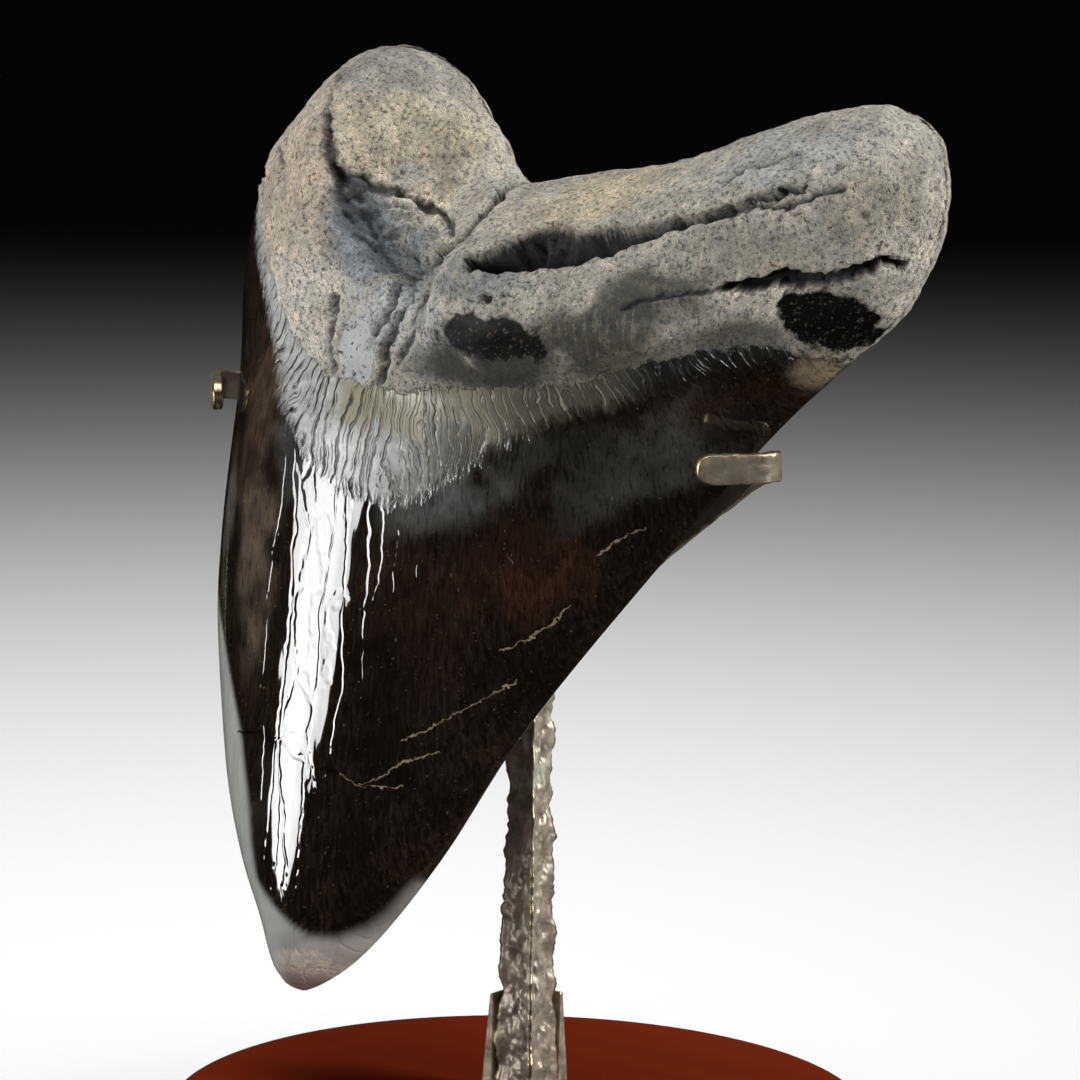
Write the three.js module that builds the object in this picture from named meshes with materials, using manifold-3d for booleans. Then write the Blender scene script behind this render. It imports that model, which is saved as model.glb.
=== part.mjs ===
// A polished megalodon tooth on its bronze and lacquered wood stand.
// Millimetres, +Z up. The tooth's rounded inner side faces -Y; the origin is
// the centre of the felt pad's underside, where the stand rests.

import * as THREE from 'three';
import { mergeVertices } from 'three/addons/utils/BufferGeometryUtils.js';
import Module from 'manifold-3d';

const wasm = await Module();
wasm.setup();
const { Manifold, Mesh: ManifoldMesh } = wasm;

// ---------------------------------------------------------------- dimensions

// Foot: felt pad, turned wooden disc and the screw that holds the post.
const PAD_R = 45;
const PAD_T = 1.5;
const BASE_R = 49.4;
const BASE_T = 16;
const BASE_EDGE_R = 1.2;
const GAP = 0.3;
const BASE_BOTTOM = PAD_T + GAP;
const BASE_TOP = BASE_BOTTOM + BASE_T;
const SCREW_R = 1.5;
const SCREW_HEAD_R = 3;
const SCREW_HEAD_T = 2;
const SCREW_LENGTH = 22;

// Post: a square bronze bar that thins upward, standing in a tapered shoe.
const POST_Y = 1.5;
const POST_FOOT_SIDE = 6.4;
const POST_TOP_SIDE = 4.3;
const POST_BOTTOM = BASE_TOP + GAP;
const POST_TOP = BASE_TOP + 70.5;
const POST_LUMP = 0.35;
const SHOE_HEIGHT = 15.5;
const SHOE_TOP_T = 0.7;
const SHOE_FOOT_T = 2.3;

// Arms: flat straps that reach from the post to both edges of the tooth,
// each ending in a finger that hooks over the front.
const ARM_WIDTH = 4.2;
const ARM_T = 1.5;
const ARM_ROOT = { x: 3.4, y: 1.8, z: BASE_TOP + 67.5 };
const FINGER_Z = BASE_TOP + 96.5;
const FINGER_LENGTH = 7.5;
const FINGER_ANGLE = Math.PI / 4;
const RIGHT_CORNER = { x: 41, y: 1.2 };
const LEFT_CORNER = { x: -56, y: 1.2 };
const STRAP_BEND = { inset: 5.5, y: 5.6, drop: 1.5 };

// Tooth: its own frame has x across, z up from the tip and y towards the
// flat outer side; it leans back on the arms.
const TOOTH_LEAN = THREE.MathUtils.degToRad(12);
const TOOTH_AT = new THREE.Vector3(0, -13, BASE_TOP + 14.7);
const CUTTING_EDGE_Y = -3;
const CUTTING_EDGE_ROUND = 0.7;
const CENTRE = new THREE.Vector2(-10, 76);
const ROUND_STEPS = 84;
const RING_STEPS = 40;

// Outline of the tooth seen square on: up the right edge from the tip, over
// the two root lobes and the notch between them, and down the left edge.
const RIGHT_EDGE = [[-26, 0], [-17, 6.5], [-6.1, 21.5], [5.7, 42.4], [25.2, 68.9], [39.6, 87.2], [50.1, 98]];
const RIGHT_LOBE = [[58.6, 107], [62.7, 119], [60.1, 129.7], [52.3, 133.2], [43, 131.7], [32, 127.8]];
const NOTCH = [[20, 122.7], [6, 119.8], [-6.5, 117.1], [-12.6, 123]];
const LEFT_LOBE = [[-17.4, 128.4], [-24.2, 132.8], [-32, 134], [-38.8, 130.7], [-46, 123], [-51, 112]];
const LEFT_EDGE = [[-52, 101], [-51.4, 88], [-51.3, 76], [-51, 62], [-49.4, 49], [-43.5, 30],
  [-37.5, 18], [-30.7, 9], [-27, 2.8]];

// Thickness of the crown in front of its cutting edges: an even taper with a
// blunt tip, elliptical in section near the tip and sharper-edged above. Its
// ridge drifts to the left on the way up to the root.
const CROWN_FOOT_T = 11.3;
const CROWN_TAPER = 0.102;
const TIP_BLUNT = 10.3;
const TIP_REACH = 2.5;
const ROUND_POWER = 0.55;
const LENS_POWER = 0.8;
const ROUND_TO = 8;
const LENS_FROM = 60;
const RIDGE_DRIFT = 0.21;
const DRIFT_FROM = 35;
const DRIFT_TO = 80;

// Thickness behind the cutting edges, as [height above the tip, thickness].
const CROWN_BACK = [[0, 1], [10, 2.4], [30, 3]];
const CROWN_TOP = 78;
const ROOT_BOTTOM = 100;

// The root is a slab with swellings: centre, height and spread of each.
const ROOT_SLAB = 9.5;
const ROOT_EDGE_R = 13;
const SWELLINGS = [
  { x: 5, z: 99, wide: 30, high: 17, rise: 15.5, turn: 0 },
  { x: -31, z: 116, wide: 9, high: 20, rise: 7, turn: 0 },
  { x: 40, z: 116, wide: 22, high: 12, rise: 6, turn: 20 },
  { x: -14, z: 111, wide: 6, high: 12, rise: -6, turn: 25 },
];

// ----------------------------------------------------------------- materials

const fossil = new THREE.MeshStandardMaterial({ color: 0x3d3833, roughness: 0.35, metalness: 0 });
const bronze = new THREE.MeshStandardMaterial({ color: 0x6b5a48, roughness: 0.45, metalness: 1 });
const lacquer = new THREE.MeshStandardMaterial({ color: 0x541a10, roughness: 0.25, metalness: 0 });
const steel = new THREE.MeshStandardMaterial({ color: 0xb8b6b0, roughness: 0.35, metalness: 1 });
const felt = new THREE.MeshStandardMaterial({ color: 0x1c1b1a, roughness: 1, metalness: 0 });

// ------------------------------------------------------------------- helpers

function toManifold(geometry) {
  const bare = geometry.clone();
  bare.deleteAttribute('normal');
  bare.deleteAttribute('uv');
  const merged = mergeVertices(bare, 1e-4);
  return new Manifold(new ManifoldMesh({
    numProp: 3,
    vertProperties: new Float32Array(merged.attributes.position.array),
    triVerts: new Uint32Array(merged.index.array),
  }));
}

function fromManifold(solid) {
  const mesh = solid.getMesh();
  const geometry = new THREE.BufferGeometry();
  geometry.setAttribute('position', new THREE.BufferAttribute(new Float32Array(mesh.vertProperties), 3));
  geometry.setIndex(new THREE.BufferAttribute(new Uint32Array(mesh.triVerts), 1));
  geometry.computeVertexNormals();
  return geometry;
}

function cylinder(radius, z0, z1, y = 0, sides = 24) {
  return new THREE.CylinderGeometry(radius, radius, z1 - z0, sides)
    .rotateX(Math.PI / 2)
    .translate(0, y, (z0 + z1) / 2);
}

function named(name, geometry, material) {
  const mesh = new THREE.Mesh(geometry, material);
  mesh.name = name;
  return mesh;
}

// Straight-line value at x in a list of [x, value] pairs.
function along(pairs, x) {
  if (x <= pairs[0][0]) return pairs[0][1];
  for (let i = 1; i < pairs.length; i += 1) {
    const [x0, v0] = pairs[i - 1];
    const [x1, v1] = pairs[i];
    if (x <= x1) return v0 + (v1 - v0) * (x - x0) / (x1 - x0);
  }
  return pairs[pairs.length - 1][1];
}

// --------------------------------------------------------------------- tooth

const outlineCurve = new THREE.CatmullRomCurve3(
  [...RIGHT_EDGE, ...RIGHT_LOBE, ...NOTCH, ...LEFT_LOBE, ...LEFT_EDGE]
    .map(([x, z]) => new THREE.Vector3(x, 0, z)),
  true,
  'catmullrom',
);
const outline = outlineCurve.getPoints(320).slice(0, -1).map((p) => new THREE.Vector2(p.x, p.z));
const rightEdgeAt = RIGHT_EDGE.map(([x, z]) => [z, x]);
const leftEdgeAt = [RIGHT_EDGE[0], ...LEFT_EDGE.slice().reverse()].map(([x, z]) => [z, x]);

function distanceToOutline(point) {
  let nearest = Infinity;
  const step = new THREE.Vector2();
  const offset = new THREE.Vector2();
  outline.forEach((start, i) => {
    const end = outline[(i + 1) % outline.length];
    step.subVectors(end, start);
    offset.subVectors(point, start);
    const t = THREE.MathUtils.clamp(offset.dot(step) / step.lengthSq(), 0, 1);
    nearest = Math.min(nearest, offset.addScaledVector(step, -t).length());
  });
  return nearest;
}

// Quarter-round rise from 0 at the outline to 1 at this radius inside it.
function edgeRound(distance, radius) {
  const t = Math.min(distance / radius, 1);
  return Math.sqrt(1 - (1 - t) ** 2);
}

function swelling(s, point) {
  const turn = THREE.MathUtils.degToRad(s.turn);
  const dx = point.x - s.x;
  const dz = point.y - s.z;
  const u = dx * Math.cos(turn) + dz * Math.sin(turn);
  const v = dz * Math.cos(turn) - dx * Math.sin(turn);
  return s.rise * Math.exp(-((u / s.wide) ** 2) - (v / s.high) ** 2);
}

// Lens-shaped crown below, swelling slab of a root above, blended between.
function toothFaces(point) {
  const distance = distanceToOutline(point);
  const left = along(leftEdgeAt, point.y);
  const right = along(rightEdgeAt, point.y);
  const across = THREE.MathUtils.clamp((2 * point.x - left - right) / Math.max(right - left, 0.1), -1, 1);
  const drift = RIDGE_DRIFT * THREE.MathUtils.smoothstep(point.y, DRIFT_FROM, DRIFT_TO);
  const fullness = THREE.MathUtils.lerp(ROUND_POWER, LENS_POWER,
    THREE.MathUtils.smoothstep(point.y, ROUND_TO, LENS_FROM));
  const lens = (1 - (across + drift * (1 - across ** 2)) ** 2) ** fullness;
  const blunt = TIP_BLUNT * Math.exp(-Math.max(point.y, 0) / TIP_REACH);
  const crownFront = (CROWN_FOOT_T + CROWN_TAPER * point.y - blunt) * lens;
  const slab = SWELLINGS.reduce((sum, s) => sum + swelling(s, point), ROOT_SLAB);
  const rootFront = slab * edgeRound(distance, ROOT_EDGE_R);
  const root = THREE.MathUtils.smoothstep(point.y, CROWN_TOP, ROOT_BOTTOM);
  const bead = CUTTING_EDGE_ROUND * edgeRound(distance, 2);
  const back = (along(CROWN_BACK, point.y) - CUTTING_EDGE_ROUND) * edgeRound(distance, 6);
  return {
    front: CUTTING_EDGE_Y - bead - THREE.MathUtils.lerp(crownFront, rootFront, root),
    back: CUTTING_EDGE_Y + bead + Math.max(back, 0),
  };
}

// A unit ball pressed into the outline: each meridian of the ball runs from
// the centre of the front face, over an evenly spaced point of the outline,
// to the centre of the back face. The first meridian goes over the tip.
function toothGeometry() {
  const ball = new THREE.SphereGeometry(1, ROUND_STEPS, RING_STEPS);
  ball.deleteAttribute('normal');
  ball.deleteAttribute('uv');
  const skin = mergeVertices(ball, 1e-4);
  const position = skin.attributes.position;
  const vertex = new THREE.Vector3();
  for (let i = 0; i < position.count; i += 1) {
    vertex.fromBufferAttribute(position, i);
    const turn = Math.atan2(vertex.z, vertex.x) / (2 * Math.PI);
    const edge = outlineCurve.getPointAt(turn - Math.floor(turn));
    const point = CENTRE.clone().lerp(
      new THREE.Vector2(edge.x, edge.z),
      Math.hypot(vertex.x, vertex.z),
    );
    const faces = toothFaces(point);
    const y = Math.abs(vertex.y) < 1e-6 ? CUTTING_EDGE_Y : vertex.y < 0 ? faces.front : faces.back;
    position.setXYZ(i, point.x, y, point.y);
  }
  skin.computeVertexNormals();
  return skin;
}

function buildTooth() {
  const mesh = named('tooth', toothGeometry(), fossil);
  mesh.position.copy(TOOTH_AT);
  mesh.rotation.x = -TOOTH_LEAN;
  return mesh;
}

// --------------------------------------------------------------------- stand

// Half the bar's side at a height, with the slow swell of hammered work.
function postHalfSide(z) {
  const t = (z - POST_BOTTOM) / (POST_TOP - POST_BOTTOM);
  const side = THREE.MathUtils.lerp(POST_FOOT_SIDE, POST_TOP_SIDE, Math.min(t * 1.5, 1));
  return side / 2;
}

function buildPost() {
  const height = POST_TOP - POST_BOTTOM;
  const bar = new THREE.BoxGeometry(2, 2, height, 2, 2, 30).translate(0, 0, (POST_BOTTOM + POST_TOP) / 2);
  const position = bar.attributes.position;
  for (let i = 0; i < position.count; i += 1) {
    const z = position.getZ(i);
    const half = postHalfSide(z);
    const inShoe = z < BASE_TOP + SHOE_HEIGHT + 1;
    const lump = inShoe ? 0 : POST_LUMP;
    const x = position.getX(i);
    const y = position.getY(i);
    const swellX = lump * (0.6 * Math.sin(z * 0.55 + y) - 0.4);
    const swellY = lump * (0.6 * Math.sin(z * 0.71 + 2 * x) - 0.4);
    position.setXYZ(i, x * (half + swellX), POST_Y + y * (half + swellY), z);
  }
  const hole = cylinder(SCREW_R + 0.1, POST_BOTTOM - 1, BASE_BOTTOM + SCREW_LENGTH + 1, POST_Y);
  return named('post', fromManifold(toManifold(bar).subtract(toManifold(hole))), bronze);
}

// One wing of the shoe: a plate that is thin at the top and thick at the foot.
// It is drawn as a side profile and given its width along X.
function shoeWing(width) {
  const top = SHOE_HEIGHT;
  const profile = new THREE.Shape();
  profile.moveTo(0, 0);
  profile.lineTo(-SHOE_FOOT_T, 0);
  profile.lineTo(-SHOE_TOP_T, top - 0.4);
  profile.quadraticCurveTo(-SHOE_TOP_T, top, -SHOE_TOP_T + 0.3, top);
  profile.lineTo(0, top);
  profile.closePath();
  const plate = new THREE.ExtrudeGeometry(profile, { depth: width, bevelEnabled: false });
  return plate.rotateX(Math.PI / 2).translate(0, width, 0);
}

function buildShoe() {
  const inner = POST_FOOT_SIDE / 2 + GAP;
  const reach = POST_FOOT_SIDE / 2;
  const z = BASE_TOP + GAP;
  const wingLength = reach + inner + SHOE_TOP_T;
  const left = shoeWing(wingLength).translate(-inner, POST_Y - reach, z);
  const back = shoeWing(wingLength).rotateZ(-Math.PI / 2).translate(-reach, POST_Y + inner, z);
  const corner = new THREE.CylinderGeometry(SHOE_TOP_T, SHOE_FOOT_T, SHOE_HEIGHT - 0.1, 16)
    .rotateX(Math.PI / 2)
    .translate(-inner, POST_Y + inner, z + SHOE_HEIGHT / 2);
  const joined = toManifold(left).add(toManifold(back)).add(toManifold(corner));
  const core = new THREE.BoxGeometry(2 * inner, 2 * inner, 4 * SHOE_HEIGHT).translate(0, POST_Y, z);
  const whole = joined.subtract(toManifold(core));
  const ground = new THREE.BoxGeometry(60, 60, 20).translate(0, 0, z - 10);
  return named('shoe', fromManifold(whole.subtract(toManifold(ground))), bronze);
}

// A strap along a bent line in plan, with its middle height given at each
// point: hulls of thin upright plates, one per bend, joined end to end.
function strap(points) {
  const plates = points.map((p, i) => {
    const last = points[Math.max(i - 1, 0)];
    const next = points[Math.min(i + 1, points.length - 1)];
    const plate = new THREE.BoxGeometry(0.3, ARM_T, ARM_WIDTH);
    plate.rotateZ(Math.atan2(next.y - last.y, next.x - last.x));
    return toManifold(plate.translate(p.x, p.y, p.z));
  });
  let body = Manifold.hull([plates[0], plates[1]]);
  for (let i = 2; i < plates.length; i += 1) {
    body = body.add(Manifold.hull([plates[i - 1], plates[i]]));
  }
  return body;
}

// side is +1 for the right arm and -1 for the left one.
function buildArm(name, side, corner) {
  const bendX = corner.x - side * STRAP_BEND.inset;
  const tipX = corner.x - side * FINGER_LENGTH * Math.cos(FINGER_ANGLE);
  const tipY = corner.y - 2.2 - FINGER_LENGTH * Math.sin(FINGER_ANGLE);
  const body = strap([
    { x: side * ARM_ROOT.x, y: ARM_ROOT.y, z: ARM_ROOT.z },
    { x: bendX, y: STRAP_BEND.y, z: FINGER_Z - STRAP_BEND.drop },
    { x: corner.x - side * 1.2, y: corner.y + 2, z: FINGER_Z - 0.3 },
    { x: corner.x, y: corner.y, z: FINGER_Z },
    { x: corner.x - side * 0.4, y: corner.y - 2.2, z: FINGER_Z },
    { x: tipX, y: tipY, z: FINGER_Z },
  ]);
  const along45 = new THREE.Vector2(-side * Math.cos(FINGER_ANGLE), -Math.sin(FINGER_ANGLE));
  const roundTip = new THREE.CylinderGeometry(ARM_WIDTH / 2, ARM_WIDTH / 2, ARM_T, 16)
    .rotateZ(Math.atan2(along45.y, along45.x))
    .translate(tipX, tipY, FINGER_Z);
  return named(name, fromManifold(body.add(toManifold(roundTip))), bronze);
}

function buildBase() {
  const half = Math.PI / 2;
  const profile = [new THREE.Vector2(0, BASE_BOTTOM), new THREE.Vector2(BASE_R - 1, BASE_BOTTOM)];
  profile.push(new THREE.Vector2(BASE_R, BASE_BOTTOM + 1));
  for (let i = 0; i <= 6; i += 1) {
    const a = half * i / 6;
    const r = BASE_R - BASE_EDGE_R * (1 - Math.cos(a));
    profile.push(new THREE.Vector2(r, BASE_TOP - BASE_EDGE_R * (1 - Math.sin(a))));
  }
  profile.push(new THREE.Vector2(0, BASE_TOP));
  const disc = new THREE.LatheGeometry(profile, 72).rotateX(half);
  const bore = cylinder(SCREW_R + 0.2, 0, BASE_TOP + 5, POST_Y);
  const sink = cylinder(SCREW_HEAD_R + 0.4, 0, BASE_BOTTOM + SCREW_HEAD_T + 0.6, POST_Y);
  const cut = toManifold(disc).subtract(toManifold(bore)).subtract(toManifold(sink));
  return named('base', fromManifold(cut), lacquer);
}

function buildScrew() {
  const bottom = BASE_BOTTOM + 0.2;
  const shank = cylinder(SCREW_R, bottom, BASE_BOTTOM + SCREW_LENGTH, POST_Y);
  const head = cylinder(SCREW_HEAD_R, bottom, bottom + SCREW_HEAD_T, POST_Y);
  const slot = new THREE.BoxGeometry(10, 0.8, 1.6).translate(0, POST_Y, bottom);
  const solid = toManifold(shank).add(toManifold(head)).subtract(toManifold(slot));
  return named('base_screw', fromManifold(solid), steel);
}

function buildPad() {
  return named('felt_pad', cylinder(PAD_R, 0, PAD_T, 0, 72), felt);
}

// ---------------------------------------------------------------------- part

const group = new THREE.Group();
group.add(
  buildTooth(),
  buildPost(),
  buildShoe(),
  buildArm('arm_right', 1, RIGHT_CORNER),
  buildArm('arm_left', -1, LEFT_CORNER),
  buildBase(),
  buildScrew(),
  buildPad(),
);

export default group;
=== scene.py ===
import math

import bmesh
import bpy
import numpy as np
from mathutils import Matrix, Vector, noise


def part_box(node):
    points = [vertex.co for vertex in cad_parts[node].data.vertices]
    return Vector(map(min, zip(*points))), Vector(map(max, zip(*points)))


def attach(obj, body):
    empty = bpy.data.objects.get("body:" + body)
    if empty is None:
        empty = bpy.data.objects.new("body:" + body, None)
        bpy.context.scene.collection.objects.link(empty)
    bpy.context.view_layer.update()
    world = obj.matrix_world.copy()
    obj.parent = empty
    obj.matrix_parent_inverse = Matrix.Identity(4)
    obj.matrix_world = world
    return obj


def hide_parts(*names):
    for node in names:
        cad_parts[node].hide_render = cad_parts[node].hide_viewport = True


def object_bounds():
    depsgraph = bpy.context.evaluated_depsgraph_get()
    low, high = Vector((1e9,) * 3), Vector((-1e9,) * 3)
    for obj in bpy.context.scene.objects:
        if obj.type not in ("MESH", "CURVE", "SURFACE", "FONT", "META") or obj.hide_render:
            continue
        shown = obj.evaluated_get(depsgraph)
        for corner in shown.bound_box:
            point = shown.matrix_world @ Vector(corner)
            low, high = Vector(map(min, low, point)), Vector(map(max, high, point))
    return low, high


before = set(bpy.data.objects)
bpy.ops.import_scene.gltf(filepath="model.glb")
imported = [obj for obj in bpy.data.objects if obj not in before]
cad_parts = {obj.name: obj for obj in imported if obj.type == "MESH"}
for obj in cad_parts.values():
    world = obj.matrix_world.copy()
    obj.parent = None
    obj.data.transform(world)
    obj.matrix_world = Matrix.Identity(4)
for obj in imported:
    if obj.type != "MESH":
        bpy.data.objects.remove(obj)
CAD_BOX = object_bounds()

# %% [markdown]
# # A megalodon tooth on a bronze stand
# The tooth is one fossil: a mirror-polished enamel crown that points down, a rough root
# with two lobes on top, and between them a V-shaped band called the bourlette. It rests
# in two bronze straps on a hammered post, over a lacquered wooden disc. The solid model
# is loaded as the frame, and every piece below is built where that model says it is.

MM = 0.001
scene = bpy.context.scene
print("solid model, mm:", [[round(c / MM, 1) for c in corner] for corner in CAD_BOX])

# %% [markdown]
# ## The camera
# The tooth is seen from its right front, a little from above, with a long lens, so
# parallel edges stay almost parallel. The long lens is made by standing a metre away
# and choosing a focal length that just frames the tooth. A hand-held camera is rarely
# level, so it is rolled by a little under a degree.

# %% Camera
BASE_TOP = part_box("base")[1].z
CAMERA_AZIMUTH = math.radians(37)
CAMERA_ELEVATION = math.radians(11.25)
CAMERA_ROLL = math.radians(0.82)
CAMERA_DISTANCE = 1.0
FRAME_WIDTH = 0.150
SENSOR_WIDTH = 36
AIM_SIDEWAYS, AIM_HEIGHT = 1.8 * MM, 81.2 * MM


def direction(azimuth, elevation):
    """Unit vector from the object towards something at this azimuth and elevation."""
    return Vector((
        math.sin(azimuth) * math.cos(elevation),
        -math.cos(azimuth) * math.cos(elevation),
        math.sin(elevation),
    ))


sideways = Vector((math.cos(CAMERA_AZIMUTH), math.sin(CAMERA_AZIMUTH), 0))
aim = sideways * AIM_SIDEWAYS + Vector((0, 0, BASE_TOP + AIM_HEIGHT))
towards_camera = direction(CAMERA_AZIMUTH, CAMERA_ELEVATION)
camera = bpy.data.objects.new("camera", bpy.data.cameras.new("camera"))
camera.data.sensor_width = SENSOR_WIDTH
camera.data.lens = SENSOR_WIDTH * CAMERA_DISTANCE / FRAME_WIDTH
camera.data.clip_start = 0.05
camera.location = aim + towards_camera * CAMERA_DISTANCE
turned = (-towards_camera).to_track_quat("-Z", "Y").to_matrix()
camera.rotation_euler = (turned @ Matrix.Rotation(CAMERA_ROLL, 3, "Z")).to_euler()
scene.collection.objects.link(camera)
scene.camera = camera
print("camera at", [round(c, 3) for c in camera.location], "lens", camera.data.lens)

# %% [markdown]
# ## Small helpers
# Colours are picked as sRGB hex, the way a paint chart gives them, but light is
# computed with linear values, so one function converts. Another adds a shader node
# together with its settings and links, and returns its output for the next node to
# use. Sockets are filled by name, or from the top down as the node editor shows them.
# That keeps each material readable as a recipe.

# %% Helpers for materials and meshes


def colour(hex_code):
    """An sRGB hex colour as linear RGBA."""
    channels = [int(hex_code[i:i + 2], 16) / 255 for i in (1, 3, 5)]
    linear = [c / 12.92 if c <= 0.04045 else ((c + 0.055) / 1.055) ** 2.4 for c in channels]
    return (*linear, 1)


def add(tree, kind, values=(), output=None, **settings):
    """Adds a node, sets it, fills its sockets, and returns its first or named output."""
    made = tree.nodes.new("ShaderNode" + kind)
    for name, setting in settings.items():
        setattr(made, name, setting)
    shown = [socket for socket in made.inputs if socket.enabled]
    named = values.items() if isinstance(values, dict) else zip(shown, values)
    for key, value in named:
        socket = made.inputs[key] if isinstance(key, str) else key
        if isinstance(value, bpy.types.NodeSocket):
            tree.links.new(value, socket)
        else:
            socket.default_value = colour(value) if isinstance(value, str) else value
    if output:
        return made.outputs[output]
    return next((socket for socket in made.outputs if socket.enabled), None)


def new_material(name):
    """A new material and its node tree, emptied for a recipe to fill."""
    material = bpy.data.materials.new(name)
    material.use_nodes = True
    material.node_tree.nodes.clear()
    return material, material.node_tree


def into_mesh(form, name, size=1):
    """Scales a finished bmesh, turns it into a mesh and frees it."""
    bmesh.ops.scale(form, verts=form.verts[:], vec=(size, size, size))
    mesh = bpy.data.meshes.new(name)
    form.to_mesh(mesh)
    form.free()
    return mesh


def rows_of(mesh, source="vertices", key="co"):
    """A vector for every vertex, such as its position, as rows of x, y and z."""
    rows = np.empty(len(mesh.vertices) * 3)
    getattr(mesh, source).foreach_get(key, rows)
    return rows.reshape(-1, 3)


def finish_piece(name, mesh, material, node, smooth=True):
    """Links a mesh into the scene as the piece that stands for a solid node."""
    piece = bpy.data.objects.new(name, mesh)
    scene.collection.objects.link(piece)
    mesh.materials.append(material)
    mesh.polygons.foreach_set("use_smooth", [smooth] * len(mesh.polygons))
    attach(piece, "root")
    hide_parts(node)
    mesh.calc_loop_triangles()
    print(name, len(mesh.loop_triangles), "triangles")
    return piece


# %% [markdown]
# ## The tooth's outline
# Seen square on, the tooth is a lopsided heart: a straight right edge, a rounder left
# edge, two root lobes and a shallow notch between them. A smooth closed curve through
# listed points gives that outline. They are in millimetres in the tooth's own
# frame, with x across, z up from the tip, and y towards its flat outer face.

# %% Outline
RIGHT_EDGE = [(-26, 0), (-17, 6.5), (-6.1, 21.5), (5.7, 42.4), (25.2, 68.9), (39.6, 87.2), (50.1, 98)]
RIGHT_LOBE = [(58.6, 107), (62.7, 119), (60.1, 129.7), (52.3, 133.2), (43, 131.7), (32, 127.8)]
NOTCH = [(20, 122.7), (6, 119.8), (-6.5, 117.1), (-12.6, 123)]
LEFT_LOBE = [(-17.4, 128.4), (-24.2, 132.8), (-32, 134), (-38.8, 130.7), (-46, 123), (-51, 112)]
LEFT_EDGE = [(-52, 101), (-51.4, 88), (-51.3, 76), (-51, 62), (-49.4, 49), (-43.5, 30),
             (-37.5, 18), (-30.7, 9), (-27, 2.8)]
OUTLINE_STEPS = 24


def smooth_loop(points, steps):
    """Closed Catmull-Rom curve through the points."""
    p = np.array(points, float)
    before, after, beyond = np.roll(p, 1, 0), np.roll(p, -1, 0), np.roll(p, -2, 0)
    t = np.linspace(0, 1, steps, endpoint=False)[:, None, None]
    curve = 0.5 * (2 * p + (after - before) * t
                   + (2 * before - 5 * p + 4 * after - beyond) * t ** 2
                   + (3 * p - before - 3 * after + beyond) * t ** 3)
    return curve.transpose(1, 0, 2).reshape(-1, 2)


outline = smooth_loop(RIGHT_EDGE + RIGHT_LOBE + NOTCH + LEFT_LOBE + LEFT_EDGE, OUTLINE_STEPS)
print("outline", np.ptp(outline, axis=0).round(1), "mm wide and high")

# %% [markdown]
# ## A ball pressed into the outline
# A ball is one closed skin with no seams, so it is a good start for a pebble-like
# solid. Its poles face front and back, and each of its meridians is laid over one
# point of the outline. Meridians are closer together over the root, which has the
# finest relief, and three quarters of the rings lie on the front.

# %% Ball
MERIDIANS = 424
RINGS = 226
FRONT_RINGS = 166
CENTRE = np.array([-2.0, 100.0])
ROOT_SPACING, SIDE_SPACING, TIP_SPACING = 0.62, 1.8, 0.8

ball = bmesh.new()
bmesh.ops.create_uvsphere(ball, u_segments=MERIDIANS, v_segments=RINGS, radius=1,
                          matrix=Matrix.Rotation(math.pi / 2, 4, "X"))
tooth_mesh = into_mesh(ball, "tooth_body")
ball_points = rows_of(tooth_mesh)

edge_z = outline[:, 1]
spacing = np.interp(edge_z, [0, 12, 92, 99], [TIP_SPACING, SIDE_SPACING, SIDE_SPACING, ROOT_SPACING])
stride = np.linalg.norm(np.roll(outline, -1, 0) - outline, axis=1) / spacing
share = np.concatenate([[0], np.cumsum(stride)]) / stride.sum()
closed = np.vstack([outline, outline[:1]])
turn = (np.arctan2(ball_points[:, 2], ball_points[:, 0]) / (2 * np.pi)) % 1
over = np.stack([np.interp(turn, share, closed[:, k]) for k in (0, 1)], 1)
ring = np.arccos(np.clip(-ball_points[:, 1], -1, 1)) / np.pi * RINGS
on_front = ring <= FRONT_RINGS + 0.01
quarter = np.where(on_front, ring / FRONT_RINGS, (RINGS - ring) / (RINGS - FRONT_RINGS))
plan = CENTRE + np.sin(quarter * np.pi / 2)[:, None] * (over - CENTRE)
X, Z = plan.T
print("ball", len(X), "vertices,", int(on_front.sum()), "on the front")

# %% [markdown]
# ## Thickness
# The crown is a lens in cross section, sharp at both cutting edges. The root is a slab
# with a big swelling in the middle and a smaller one on each lobe, and its edges are
# rounded off like a worn pebble. The two blend where the crown enters the root.

# %% Thickness
CUTTING_EDGE_Y = -3.0
CUTTING_EDGE_ROUND = 0.7
CROWN_FOOT_T, CROWN_TAPER = 11.3, 0.102
TIP_BLUNT, TIP_REACH = 10.3, 2.5
ROUND_POWER, LENS_POWER, ROUND_TO, LENS_FROM = 0.55, 0.8, 8, 60
RIDGE_DRIFT, DRIFT_FROM, DRIFT_TO = 0.21, 35, 80
CROWN_BACK = [(0, 1), (10, 2.4), (30, 3)]
CROWN_TOP, ROOT_BOTTOM = 78, 100
ROOT_SLAB, ROOT_EDGE_R = 9.5, 13
SWELLINGS = [
    # x, z, half width, half height, rise, turn in degrees
    (5, 99, 30, 17, 15.5, 0),
    (-31, 116, 9, 20, 7, 0),
    (40, 116, 22, 12, 6, 20),
    (-14, 111, 6, 12, -6, 25),
]


def smoothstep(low, high, value):
    """Rises smoothly from 0 to 1 as the value passes from low to high."""
    t = np.clip((value - low) / (high - low), 0, 1)
    return t * t * (3 - 2 * t)


def table(pairs, value):
    """Straight lines between (place, height) pairs."""
    return np.interp(value, *np.array(pairs, float).T)


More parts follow.
